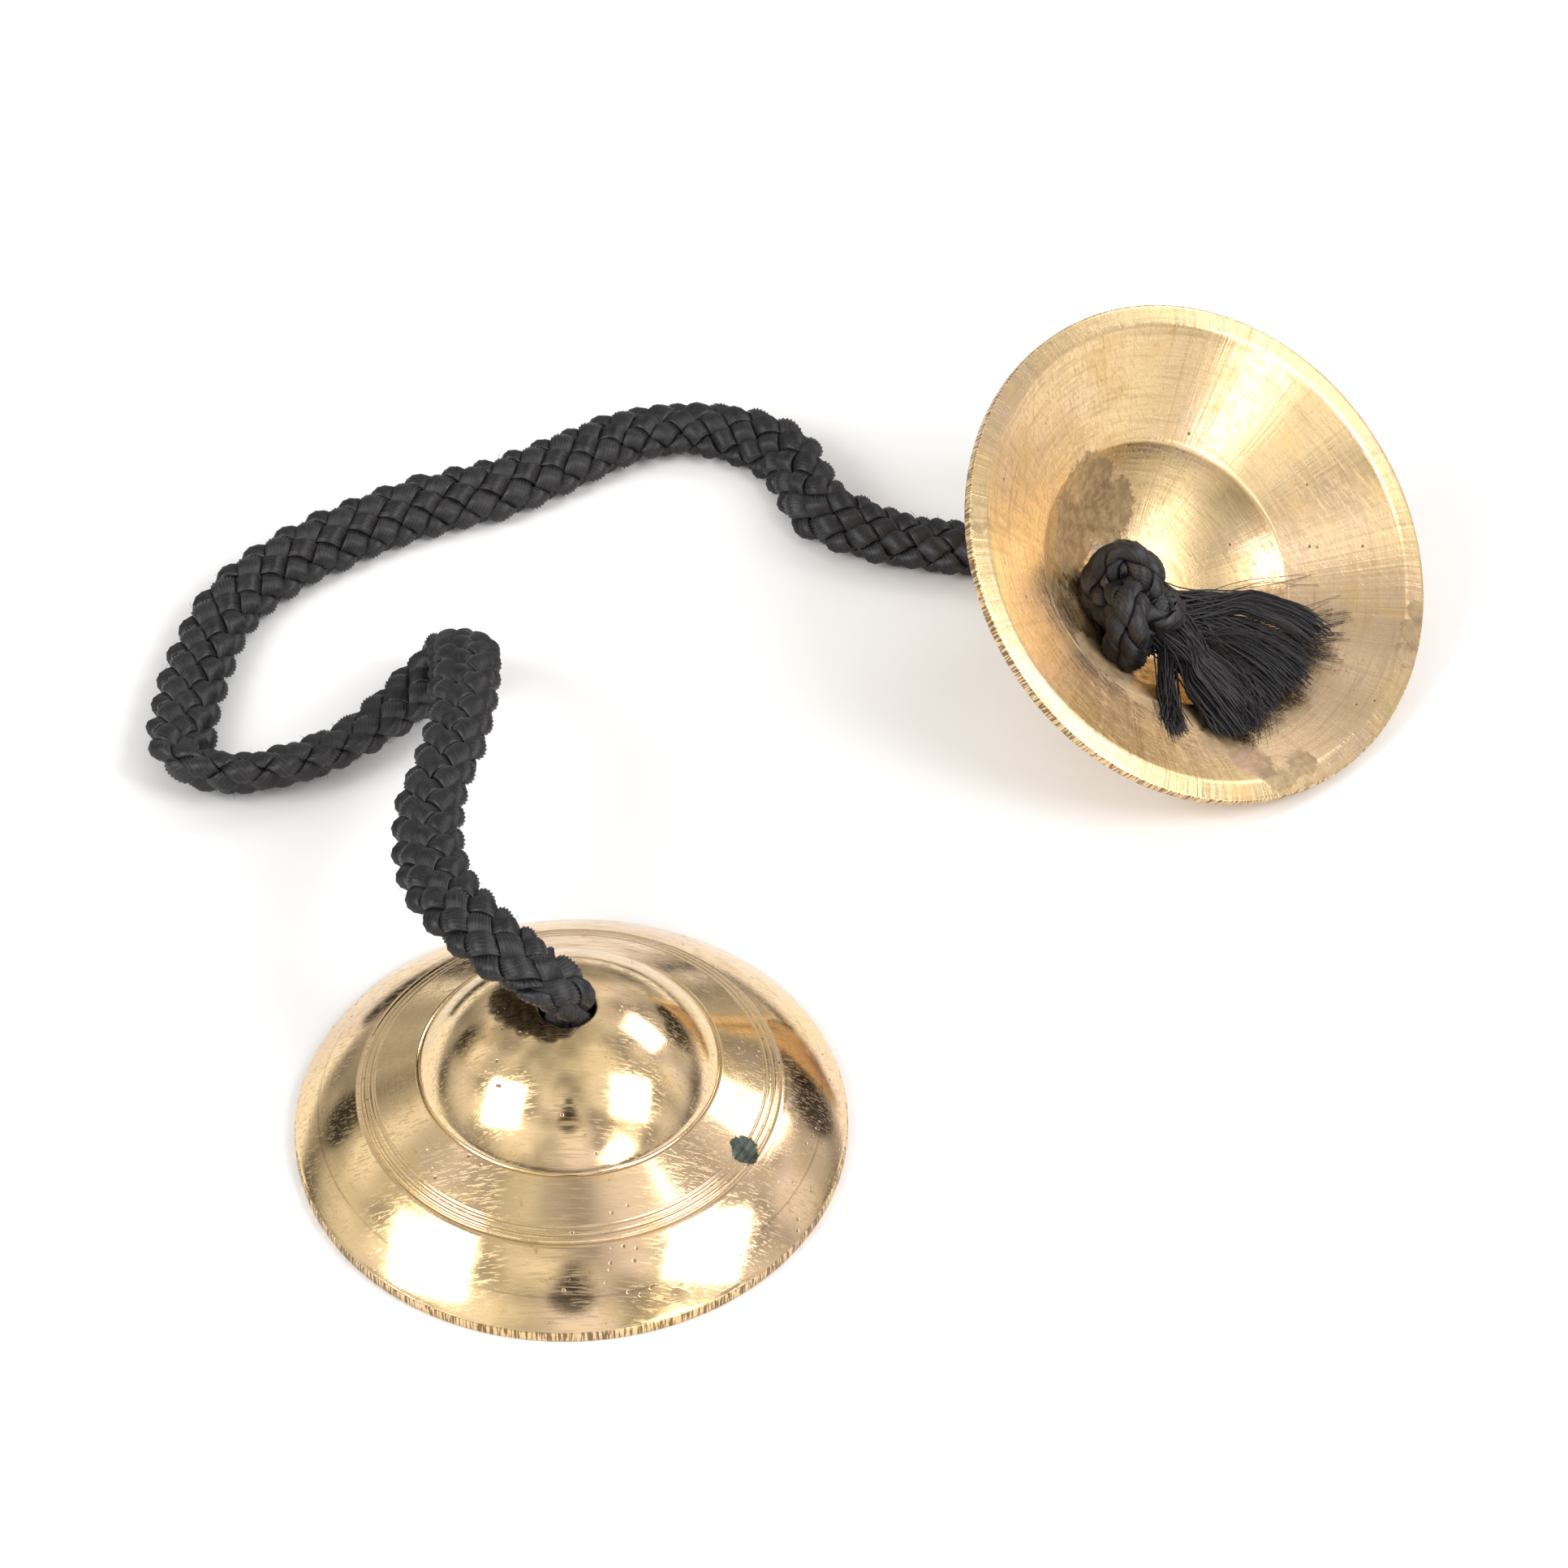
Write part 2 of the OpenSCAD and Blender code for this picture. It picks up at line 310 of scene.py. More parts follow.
def braid(name, line, start, stop, half_wide, half_thick, material, seed=3):
    """Eight strands woven one over one under round an oval section, from start to stop."""
    rng = np.random.default_rng(seed)
    unit = PITCH / (4 * STRANDS)
    across, up, ridge = strand_section()
    along = np.arange(math.ceil(start / unit / STEP), math.floor(stop / unit / STEP) + 1) * STEP
    a = along[:, None]
    points, faces, uv = [], [], []
    for way in (1, -1):
        for strand in range(STRANDS):
            b = STRAND_FILL * across[None, :] * (1 + drift(a, WIDTH_SWAY, rng))
            turn = way * (a + b) * math.pi / (2 * STRANDS)
            angle = turn + strand * 2 * math.pi / STRANDS + drift(a, TURN_SWAY, rng)
            s = (a - b) * unit + drift(a, SHIFT_SWAY, rng) * unit
            over = way * np.cos(math.pi * a / 2)
            crown = STRAND_HALF * (1 + CROWN_RISE * over + drift(a, CROWN_SWAY, rng))
            rise = CRIMP / 2 * (over - 1) + up[None, :] * crown + ridge[None, :] * RIDGE
            ring = on_braid(line, s, angle, rise, half_wide, half_thick)
            ring[..., 2] = np.maximum(ring[..., 2], TABLE)
            faces += tube_faces(len(along), len(across), sum(len(p) for p in points))
            points.append(ring.reshape(-1, 3))
            lane = 2 * (way > 0) + 4 * strand
            u = np.broadcast_to((across[None, :] + 1) / 2 + lane, s.shape)
            v = np.broadcast_to(a / 3, s.shape)
            uv.append(np.stack([u, v], -1).reshape(-1, 2))
    return mesh_piece(name, np.vstack(points), faces, material, np.vstack(uv))


HAIR_SHIFT = 0.37                 # how far apart hairs lie in the texture map
OFF_AXIS = np.array([0.31, 0.17, 0.93])   # a direction that hairs don't run in


def hairs(name, starts, route_of, radius, material, sides=3):
    """Thin tubes, one for each start. route_of gives a tube's points and its thickness along them."""
    points, faces, uv = [], [], []
    count = 0
    angles = np.arange(sides) * 2 * math.pi / sides
    for number, start in enumerate(starts):
        route, thick = route_of(start)
        along = np.gradient(route, axis=0)
        along /= np.linalg.norm(along, axis=1, keepdims=True) + 1e-12
        side = np.cross(along, OFF_AXIS)
        side /= np.linalg.norm(side, axis=1, keepdims=True)
        up = np.cross(along, side)
        size = (radius * thick)[:, None, None]
        ring = route[:, None, :] + size * (
            np.cos(angles)[None, :, None] * side[:, None, :]
            + np.sin(angles)[None, :, None] * up[:, None, :])
        faces += tube_faces(len(route), sides, count)
        count += len(route) * sides
        points.append(ring.reshape(-1, 3))
        u = np.full((len(route), sides), number * HAIR_SHIFT)
        v = np.linspace(0, 1, len(route))[:, None] + np.zeros((1, sides))
        uv.append(np.stack([u, v], -1).reshape(-1, 2))
    return mesh_piece(name, np.vstack(points), faces, material, np.vstack(uv))


# ---------------------------------------------------------------- knot and tassel

KNOT_AT = np.array([0.9, 4.4, 11.2]) * MM
KNOT_TURN = math.radians(27)
KNOT_SPAN = np.array([4.9, 3.7, 2.2]) * MM      # half spans of the knot's centreline
KNOT_HALF_WIDE = 3.1 * MM
KNOT_HALF_THICK = 2.5 * MM
# The part of the closed knot curve that is used, in radians
KNOT_END, KNOT_START, KNOT_POINTS = 3.665, 9.0, 15
KNOT_FLAT = [0.05, 0.02, 1.0]     # which way the braid's width points in the knot
KNOT_FLAT_IN_HOLE = [1, 0, 0.3]
KNOT_CUT = 0.2 * MM               # how far the knot's braid stops short of its line's ends
HOLE_INSIDE = np.array([0, 0, 15.5]) * MM
TASSEL_FLAT = np.array([0.15, 1, 0])
# Half widths and thicknesses of the tassel, and the middle of it, from the knot to the tips
TASSEL_WIDE = np.array([3.4, 4.6, 5.9, 7.4, 8.6, 9.3, 9.8]) * MM
TASSEL_THICK = np.array([2.4, 2.4, 2.2, 1.9, 1.6, 1.3, 1.1]) * MM
TASSEL_RIGHT = np.array([
    [1.8, 3.4, 10.8], [4.5, 2.5, 10.3], [8.5, 0.7, 9], [12.5, -0.4, 6.8],
    [16, -0.8, 4.7], [18.8, -0.6, 3.4], [20.8, -0.4, 2.6]]) * MM
TASSEL_LEFT = np.array([
    [1.8, 3.4, 10.4], [4.5, 2.5, 9.3], [8.5, 0.5, 6.3], [12.5, -0.8, 3.6],
    [16, -1.2, 2.4], [18.8, -0.9, 1.9], [20.8, -0.6, 1.6]]) * MM
TASSEL_SLANT = 0.13               # how much longer the tassel is on one side than in the middle
LOCKS = 26                        # loose locks that the yarns of a tassel lie in
YARN_COUNT, YARN_RADIUS = 900, 0.125 * MM
YARN_GATHER = 0.45                # share of the tassel in which yarns gather into locks
YARN_WAVES, YARN_KINKS = 8, 70    # slow waves and fine kinks along a yarn, in radians
KINK_DEPTH = 0.04 * MM


def knot_points():
    """Centreline of an overhand knot in the cymbal's own frame, from the hole to the tassel."""
    t = np.linspace(KNOT_START, KNOT_END, KNOT_POINTS)
    # A trefoil, scaled to its half spans
    u = KNOT_SPAN[0] * (np.sin(t) + 2 * np.sin(2 * t)) / 2.65
    v = KNOT_SPAN[1] * (np.cos(t) - 2 * np.cos(2 * t)) / 3
    w = KNOT_SPAN[2] * np.sin(3 * t)
    turn = np.array([[math.cos(KNOT_TURN), math.sin(KNOT_TURN)],
                     [-math.sin(KNOT_TURN), math.cos(KNOT_TURN)]])
    flat = np.stack([u, v], 1) @ turn
    return KNOT_AT + np.column_stack([flat, w])


def add_knot(name, place, body, tassel_route, replaced, material):
    points = np.vstack([HOLE_INSIDE, knot_points(), tassel_route[0]])
    flat = turned(np.tile(KNOT_FLAT, (len(points), 1)), place)
    flat[0] = turned(KNOT_FLAT_IN_HOLE, place)
    line = Line(placed(points, place), flat)
    piece = braid(name, line, KNOT_CUT, line.length - KNOT_CUT,
                  lambda s: KNOT_HALF_WIDE + 0 * s, lambda s: KNOT_HALF_THICK + 0 * s,
                  material, seed=11)
    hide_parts(replaced)
    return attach(piece, body)


def tassel_yarns(rng, count):
    """Starts of yarns: where each lies across the tassel, how long it is and how it sways."""
    locks = [dict(q=rng.uniform(-0.95, 0.95), p=rng.uniform(-0.75, 0.75),
                  reach=rng.uniform(0.84, 1.0), drift=rng.normal(0, 0.16),
                  lift=rng.normal(0, 0.25), wave=rng.uniform(0, 6.28, 3))
             for _ in range(LOCKS)]
    rows = []
    for number in range(count):
        lock = locks[number % LOCKS]
        slant = TASSEL_SLANT * lock["q"] - 0.05 * abs(lock["q"])
        rows.append(dict(
            q=rng.uniform(-0.9, 0.9),
            p=rng.uniform(-0.9, 0.9),
            q_end=np.clip(lock["q"] + lock["drift"] + rng.normal(0, 0.10), -1.1, 1.1),
            p_end=np.clip(lock["p"] + lock["lift"] + rng.normal(0, 0.22), -1, 1),
            reach=lock["reach"] * rng.uniform(0.93, 1.0) + slant,
            sway=rng.normal(0, 1, 3) * 0.28 * MM,
            wave=lock["wave"] + rng.normal(0, 0.5, 3),
            curl=rng.uniform(0.6, 1.5),
            size=rng.uniform(0.7, 1.15)))
    return rows


def below_metal(points):
    """Points in the cymbal's own frame, kept on the hollow side of the metal."""
    radius = np.hypot(points[:, 0], points[:, 1]) / MM
    cone = np.interp(radius, [CUP_R, RIM_R - LIP_W], [CUP_H, 0])
    roof = np.where(radius < CUP_R, cup_h(np.minimum(radius, CUP_R)), cone) - YARN_GAP
    points[:, 2] = np.clip(points[:, 2], YARN_GAP * MM, np.maximum(roof, YARN_GAP) * MM)
    return points


def tassel_route_of(centre, place, segments=22):
    """Routes of a tassel's yarns, which gather into locks and spread out round its middle."""
    line = Line(centre, np.tile(TASSEL_FLAT, (len(centre), 1)))
    knots = np.linspace(0, 1, len(centre))

    def route(start):
        share = np.linspace(0, 1, segments) * start["reach"]
        middle, side, up = line.frame(share * line.length)
        wide = np.interp(share, knots, TASSEL_WIDE)
        thick = np.interp(share, knots, TASSEL_THICK)
        gather = np.clip(share / YARN_GATHER, 0, 1)
        q = start["q"] + (start["q_end"] - start["q"]) * gather
        p = start["p"] + (start["p_end"] - start["p"]) * gather
        across = (q * wide)[:, None] * side + (p * thick)[:, None] * up
        curled = share * start["curl"]
        waves = np.stack([np.sin(curled * YARN_WAVES + start["wave"][k]) for k in range(3)], 1)
        kinks = np.sin(curled * YARN_KINKS + start["wave"][0])[:, None] * KINK_DEPTH
        points = below_metal(middle + across + waves * start["sway"] * share[:, None] + kinks * up)
        taper = np.interp(share, [0, 0.9 * start["reach"], start["reach"]], [1, 1, 0.6])
        return placed(points, place), taper * start["size"]

    return route


def free_route_of(place, segments):
    """Routes of single fibres that leave the tassel: from a start, by a middle, to an end."""
    def route(start):
        t = np.linspace(0, 1, segments)[:, None]
        a, b, c = (np.asarray(start[k]) for k in ("a", "b", "c"))
        points = (1 - t) ** 2 * a + 2 * t * (1 - t) * b + t**2 * c
        sway = np.sin(t * start["turns"] + start["wave"]) * start["size"] * t * (1.1 - t)
        points = below_metal(points + sway * start["way"])
        return placed(points, place), np.linspace(1, 0.5, segments)

    return route


def loose_fibres(rng, bundles, spread, size):
    """Starts for free_route_of, scattered round each bundle's first, middle and last point."""
    rows = []
    for *places, count in bundles:
        first, middle, last = (np.array(p) * MM for p in places)
        for _ in range(count):
            scatter = rng.normal(0, 1, (3, 3)) * np.array([0.5, 1, 1])[:, None] * spread
            rows.append(dict(a=first + scatter[0], b=middle + scatter[1], c=last + scatter[2],
                             turns=rng.uniform(4, 11), wave=rng.uniform(0, 6.28),
                             size=size * rng.uniform(0.4, 1.4), way=rng.normal(0, 0.7, 3)))
    return rows


# Loose fibres of the right tassel: first, middle and last place in the cymbal's own frame in mm,
# and how many. The tuft is the small lock that hangs apart.
TUFT = [([6.5, 4.5, 10.0], [11.0, 8.6, 9.4], [14.6, 13.2, 6.0], 170)]
WISPS = [
    ([6, -1, 9.5], [12, -7, 8], [15.5, -14.0, 6.0], 16),
    ([6, -1, 9.5], [13, -6, 7], [17.5, -12.0, 4.5], 24),
    ([6, 0, 9.5], [12, -4, 7.5], [18.8, -9.0, 3.5], 30),
    ([5, -2, 10.5], [6, -9, 8.5], [9.5, -14.5, 6.5], 3),
    ([8, 1, 9.0], [14, 1, 3.5], [21.0, 7.0, 1.6], 30),
    ([8, 2, 9.5], [10, -3, 4.5], [18.0, -5.0, 2.5], 24),
]


def add_loose(name, place, body, material, rng, bundles, spread, sway, radius, segments):
    """A piece of loose fibres. Spread, sway and radius are in mm."""
    starts = loose_fibres(rng, bundles, spread * MM, sway * MM)
    piece = hairs(name, starts, free_route_of(place, segments), radius * MM, material)
    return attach(piece, body)


def add_tassel(name, place, body, centre, replaced, material, loose):
    rng = np.random.default_rng(21)
    starts = tassel_yarns(rng, YARN_COUNT)
    piece = hairs(name, starts, tassel_route_of(centre, place), YARN_RADIUS, material)
    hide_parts(replaced)
    pieces = [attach(piece, body)]
    if loose:
        pieces.append(add_loose(name + "_tuft", place, body, material, rng, TUFT,
                                spread=0.85, sway=0.5, radius=0.12, segments=16))
        pieces.append(add_loose(name + "_wisps", place, body, material, rng, WISPS,
                                spread=0.9, sway=1.2, radius=0.06, segments=22))
    return pieces


# ---------------------------------------------------------------- materials

class Nodes:
    """Short names for making a node tree."""

    def __init__(self, tree):
        self.tree = tree

    def link(self, a, b):
        self.tree.links.new(a, b)

    def add(self, kind, settings=None, **inputs):
        """A new node. An input is given by its name, or by i and its number."""
        node = self.tree.nodes.new("ShaderNode" + kind)
        for key, value in (settings or {}).items():
            setattr(node, key, value)
        for key, value in inputs.items():
            self.put(node, key, value)
        return node

    def put(self, node, key, value):
        numbered = key[0] == "i" and key[1:].isdigit()
        socket = node.inputs[int(key[1:])] if numbered else node.inputs[key]
        if isinstance(value, bpy.types.NodeSocket):
            self.link(value, socket)
        else:
            socket.default_value = value

    def math(self, operation, a, b=0.0, c=0.0):
        return self.add("Math", {"operation": operation}, i0=a, i1=b, i2=c).outputs[0]

    def times(self, a, b):
        return self.math("MULTIPLY", a, b)

    def noise(self, vector, scale, detail=3.0, rough=0.55, w=None):
        node = self.add("TexNoise", {"noise_dimensions": "4D" if w is not None else "3D"},
                        Vector=vector, Scale=scale, Detail=detail, Roughness=rough)
        if w is not None:
            self.put(node, "W", w)
        return node.outputs["Fac"]

    def step(self, value, low, high, out_low=0.0, out_high=1.0, kind="SMOOTHSTEP"):
        """value from low to high becomes out_low to out_high, clamped."""
        node = self.add("MapRange", {"interpolation_type": kind},
                        i0=value, i1=low, i2=high, i3=out_low, i4=out_high)
        return node.outputs[0]

    def mix(self, share, a, b, blend="MIX"):
        node = self.add("Mix", {"data_type": "RGBA", "blend_type": blend}, i0=share, i6=a, i7=b)
        return node.outputs[2]

    def combine(self, x, y, z):
        return self.add("CombineXYZ", X=x, Y=y, Z=z).outputs[0]

    def bump(self, height, distance, strength=1.0, normal=None):
        node = self.add("Bump", Height=height, Distance=distance, Strength=strength)
        if normal is not None:
            self.put(node, "Normal", normal)
        return node.outputs[0]


def new_material(name):
    """The nodes of a new material, with its shader at hand."""
    material = bpy.data.materials.new(name)
    material.use_nodes = True
    n = Nodes(material.node_tree)
    n.material = material
    n.shader = n.tree.nodes["Principled BSDF"]
    return n


BRASS = (0.90, 0.665, 0.36, 1)
BRASS_PINK = (0.88, 0.64, 0.42, 1)
BRASS_DEEP = (0.76, 0.51, 0.20, 1)
TARNISH = (0.27, 0.17, 0.075, 1)
STAIN = (0.31, 0.21, 0.12, 1)
STAIN_PINK = (0.44, 0.27, 0.25, 1)
STAIN_DULL = (0.34, 0.25, 0.155, 1)
STAIN_PALE = (0.48, 0.36, 0.21, 1)
VERDIGRIS = (0.045, 0.065, 0.055, 1)
VERDIGRIS_PALE = (0.12, 0.15, 0.13, 1)
CRUST = (0.16, 0.16, 0.17, 1)
CRUST_PALE = (0.50, 0.47, 0.42, 1)
FILED_DARK = (0.20, 0.12, 0.055, 1)
RIM_RADIUS = 29.85 * MM
SCRIBED_RADIUS = 27.3 * MM
# Each kind of spot: its two colours, and its least and most cover
SPOTS = {
    "stain": (STAIN, STAIN_PALE, 0.6, 0.88),
    "film": (STAIN_DULL, STAIN_PALE, 0.1, 0.75),
    "pink": (STAIN_PINK, STAIN, 0.45, 0.75),
    "green": (VERDIGRIS, VERDIGRIS_PALE, 0.97, 0.97),
    "crust": (CRUST, CRUST_PALE, 0.2, 0.9),
}
# What differs between the polished outside and the brushed inside: how close the fine and broad
# turning marks are, how much tarnish lies in them and in worn places, the roughness, how much the
# fine marks add to it, and how deep they are
OUTSIDE = dict(fine=5.5, broad=0.9, fine_dark=0.10, broad_dark=0.10, worn=0.45,
               rough=0.05, fine_rough=0.10, fine_depth=0.006 * MM)
INSIDE = dict(fine=2.3, broad=0.55, fine_dark=0.30, broad_dark=0.22, worn=0.25,
              rough=0.15, fine_rough=0.22, fine_depth=0.045 * MM)
MATTE_ROUGH = (0.62, 0.62, 0.62, 1)     # roughness of pits and spots
EDGE_ROUGH = (0.38, 0.38, 0.38, 1)
SCRATCH_LEANINGS = ((0.5, 4600), (1.7, 5600), (2.6, 3900))      # turn and closeness


def own_frame(n, place):
    """Texture coordinates in the cymbal's own frame, its axis along Z."""
    back = place.inverted()
    turned_back = n.add("Mapping", Vector=n.add("TexCoord").outputs["Object"],
                        Location=back.translation, Rotation=back.to_euler())
    return turned_back.outputs[0]


def blot(n, at, warp, centre, size):
    """A ragged spot's share, 1 inside it, round a centre in the cymbal's own frame."""
    away = n.add("VectorMath", {"operation": "DISTANCE"}, i0=at, i1=[c * MM for c in centre])
    ragged = n.math("MULTIPLY_ADD", warp, -1.9 * size * MM, away.outputs["Value"])
    return n.step(ragged, 0.16 * size * MM, 0.02 * size * MM)


def scratched(n, at):
    """Fine short scratches in several leanings, 1 on a scratch."""
    found = 0.0
    for turn, size in SCRATCH_LEANINGS:
        leaned = n.add("Mapping", Vector=at, Rotation=(0.2, 0.3, turn),
                       Scale=(size * 0.04, size, size * 0.4))
        lines = n.noise(leaned.outputs[0], 1.0, 2, 0.5)
        found = n.math("MAXIMUM", found, n.step(lines, 0.61, 0.65))
    return found


class Marks:
    """A cymbal's own coordinates, and the patterns on its metal, each a share from 0 to 1."""

    def __init__(self, n, place, finish):
        self.at = at = own_frame(n, place)
        part = n.add("SeparateXYZ", Vector=at)
        x, y, z = (part.outputs[k] for k in range(3))
        self.radius = radius = n.math("SQRT", n.math("ADD", n.times(x, x), n.times(y, y)))
        ux = n.math("DIVIDE", x, radius)
        uy = n.math("DIVIDE", y, radius)

        # Turning marks run round the axis: fine across, long round
        lathe = n.combine(n.times(radius, 1000), n.times(z, 1000), n.times(ux, 1.6))
        uy_long = n.times(uy, 1.6)
        self.fine = n.noise(lathe, finish["fine"], 4, 0.65, uy_long)
        self.broad = n.noise(lathe, finish["broad"], 3, 0.6, uy_long)
        # Chatter marks run outwards, faint and close
        outwards = n.combine(n.times(ux, 38), n.times(uy, 38), n.times(radius, 30))
        self.spokes = n.noise(outwards, 1.0, 3, 0.7)

        self.scratch = scratched(n, at)
        self.cloud = n.noise(at, 60, 4, 0.6)
        self.smear = n.noise(at, 190, 6, 0.65)
        self.grime = n.noise(at, 900, 4, 0.65)
        self.ragged = n.math("MULTIPLY_ADD", n.noise(at, 1400, 4, 0.7), 0.35,
                             n.times(n.noise(at, 330, 6, 0.72), 0.65))
        speck = n.add("TexVoronoi", Vector=at, Scale=700.0).outputs["Distance"]
        self.pits = n.times(n.step(speck, 0.17, 0.09), n.step(n.noise(at, 110, 2), 0.58, 0.64))
        self.worn = n.times(n.step(self.grime, 0.56, 0.68),
                            n.step(self.smear, 0.50, 0.60, 0, finish["worn"]))

        # The edge was filed across, and shows as short upright cuts
        self.edge = n.times(n.step(radius, RIM_RADIUS - 0.08 * MM, RIM_RADIUS + 0.05 * MM),
                            n.step(z, 1.5 * MM, 1.25 * MM))
        cut_at = n.combine(n.times(ux, 60), n.times(uy, 60), n.times(z, 150))
        self.cuts = n.noise(cut_at, 2.4, 1, 0.5)


def metal_colour(n, marks, finish):
    """Uneven brass with tarnish in its marks."""
    colour = n.mix(n.step(marks.cloud, 0.38, 0.66), BRASS, BRASS_PINK)
    colour = n.mix(n.step(marks.smear, 0.48, 0.74, 0, 0.5), colour, BRASS_DEEP)
    colour = n.mix(n.step(marks.broad, 0.52, 0.74, 0, finish["broad_dark"]), colour, TARNISH)
    colour = n.mix(n.step(marks.fine, 0.48, 0.70, 0, finish["fine_dark"]), colour, TARNISH)
    if finish is INSIDE:
        colour = n.mix(n.step(marks.spokes, 0.50, 0.72, 0, 0.22), colour, TARNISH)
    colour = n.mix(marks.worn, colour, TARNISH)
    colour = n.mix(n.times(marks.scratch, 0.20), colour, TARNISH)
    return n.mix(n.times(marks.pits, 0.85), colour, FILED_DARK)


def spotted(n, marks, colour, matte, spots):
    """Colour and matte share with the spots added."""
    for centre, size, kind in spots:
        tint, pale, least, most = SPOTS[kind]
        patchy = n.step(marks.smear, 0.34, 0.50, least, most)
        mask = n.times(blot(n, marks.at, marks.ragged, centre, size), patchy)
        colour = n.mix(mask, colour, n.mix(n.step(marks.grime, 0.38, 0.66), tint, pale))
        matte = n.math("MAXIMUM", matte, mask)
    return colour, matte


def scribed(n, marks, colour):
    """The colour with one thin line scribed round the flange."""
    off_line = n.math("ABSOLUTE", n.math("SUBTRACT", marks.radius, SCRIBED_RADIUS))
    line = n.times(n.step(off_line, 0.14 * MM, 0.03 * MM),
                   n.step(marks.smear, 0.40, 0.55, 0.25, 0.8))
    return n.mix(n.times(line, 0.5), colour, TARNISH)


def metal_roughness(n, marks, matte, finish):
    rough = n.math("MULTIPLY_ADD", marks.fine, finish["fine_rough"], finish["rough"])
    rough = n.math("ADD", rough, n.step(marks.smear, 0.45, 0.75, 0, 0.10))
    rough = n.math("MULTIPLY_ADD", marks.scratch, 0.16, rough)
    rough = n.mix(matte, rough, MATTE_ROUGH)
    return n.mix(marks.edge, rough, EDGE_ROUGH)


def metal_relief(n, marks, finish):
    relief = n.bump(marks.fine, finish["fine_depth"], 0.8)
    if finish is INSIDE:
        relief = n.bump(marks.spokes, 0.06 * MM, 0.6, relief)
    relief = n.bump(n.math("SUBTRACT", 1.0, marks.scratch), 0.0015 * MM, 0.5, relief)
    relief = n.bump(n.math("SUBTRACT", 1.0, marks.pits), 0.05 * MM, 0.6, relief)
    relief = n.bump(n.times(marks.edge, marks.cuts), 0.07 * MM, 0.8, relief)
    return n.bump(n.noise(marks.at, 75, 2, 0.4), 0.08 * MM, 0.25, relief)


def brass(name, place, spots, finish):
    """Lathe-turned brass: polished and worn outside, brushed and marked inside."""
    n = new_material(name)
    marks = Marks(n, place, finish)
    colour = metal_colour(n, marks, finish)
    matte = n.math("MAXIMUM", marks.pits, n.times(marks.worn, 0.5))
    colour, matte = spotted(n, marks, colour, matte, spots)
    if finish is OUTSIDE:
        colour = scribed(n, marks, colour)
    filed = n.times(marks.edge, n.step(marks.cuts, 0.46, 0.56, 0, 0.9))
    n.put(n.shader, "Base Color", n.mix(filed, colour, FILED_DARK))
    n.put(n.shader, "Roughness", metal_roughness(n, marks, matte, finish))
    n.put(n.shader, "Normal", metal_relief(n, marks, finish))
    n.shader.inputs["Metallic"].default_value = 1.0
    if finish is INSIDE:
        n.shader.inputs["Anisotropic"].default_value = 0.8
        tangent = n.add("Tangent", {"direction_type": "UV_MAP", "uv_map": "strand"})
        n.put(n.shader, "Tangent", tangent.outputs[0])
    return n.material


BLACK = (0.0028, 0.0022, 0.0031, 1)
BLACK_GREY = (0.026, 0.0225, 0.028, 1)
DUST = (0.10, 0.098, 0.10, 1)


def black_yarn(name, across_scale, rough, yarns=0):
    """Dark yarn with fine fibres along each strand, lightened in streaks partly by painted sheen, and
    with painted shade in the grooves between its yarns if it has any.

    The strand's own map gives the places: u across, where one is a whole strand, and v along.
    """
    n = new_material(name)
    at = n.add("UVMap", {"uv_map": "strand"}).outputs["UV"]
    part = n.add("SeparateXYZ", Vector=at)
    u, v = part.outputs[0], part.outputs[1]
    fibre = n.noise(n.combine(n.times(u, across_scale), n.times(v, 3.0), 0.0), 1.0, 4, 0.7)
    place = n.add("TexCoord").outputs["Object"]
    fade = n.noise(place, 130, 3, 0.6)
    dust = n.noise(place, 2600, 2, 0.6)
    # Fibre streaks: partly the yarn's own uneven tone, partly painted sheen along the fibres
    sheen_and_groove_shade = n.step(fibre, 0.38, 0.66)
    if yarns:
        # Painted shade in the grooves between yarns, dark where the strand's ridged mesh dips
        wave = n.math("COSINE", n.times(u, 2 * math.pi * yarns))
        ridge = n.math("MULTIPLY_ADD", wave, -0.5, 0.5)
        sheen_and_groove_shade = n.times(sheen_and_groove_shade, n.step(ridge, 0.0, 0.8, 0.05, 1.0))
    colour = n.mix(sheen_and_groove_shade, BLACK, BLACK_GREY)
    colour = n.mix(n.step(fade, 0.48, 0.70, 0, 0.25), colour, BLACK_GREY)
    colour = n.mix(n.step(dust, 0.66, 0.74, 0, 0.35), colour, DUST)
    n.put(n.shader, "Base Color", colour)
    n.put(n.shader, "Roughness", n.step(fibre, 0.3, 0.7, rough, rough + 0.15))
    n.put(n.shader, "Normal", n.bump(fibre, 0.09 * MM, 0.8))
    n.shader.inputs["Specular IOR Level"].default_value = 0.6
    n.shader.inputs["Sheen Weight"].default_value = 0.06
    n.shader.inputs["Sheen Roughness"].default_value = 0.4
    return n.material


# ---------------------------------------------------------------- cymbals

def straight(a, b, count, bulge=0.0):
    """Points from a to b without b, bowed outwards by bulge at the middle."""
    t = np.linspace(0, 1, count, endpoint=False)[:, None]
    along = (b - a) / np.linalg.norm(b - a)
    out = np.array([along[1], -along[0]])
    return a + t * (b - a) + 4 * t * (1 - t) * bulge * out


def grooved(a, b):
    """The inner flange from a to b with soft turned grooves."""
    t = np.linspace(0, 1, 110, endpoint=False)
    length = np.linalg.norm(b - a)
    along = (b - a) / length
    into = np.array([-along[1], along[0]])
    depth = np.zeros_like(t)
    for share, width, deep in GROOVES:
        away = np.abs(t - share) * length / (width / 2)
        burr = BURR * np.exp(-((away - 1.2) / 0.25) ** 2)
        depth += deep * np.clip(1 - away, 0, 1) - burr
    return a + t[:, None] * (b - a) + depth[:, None] * into


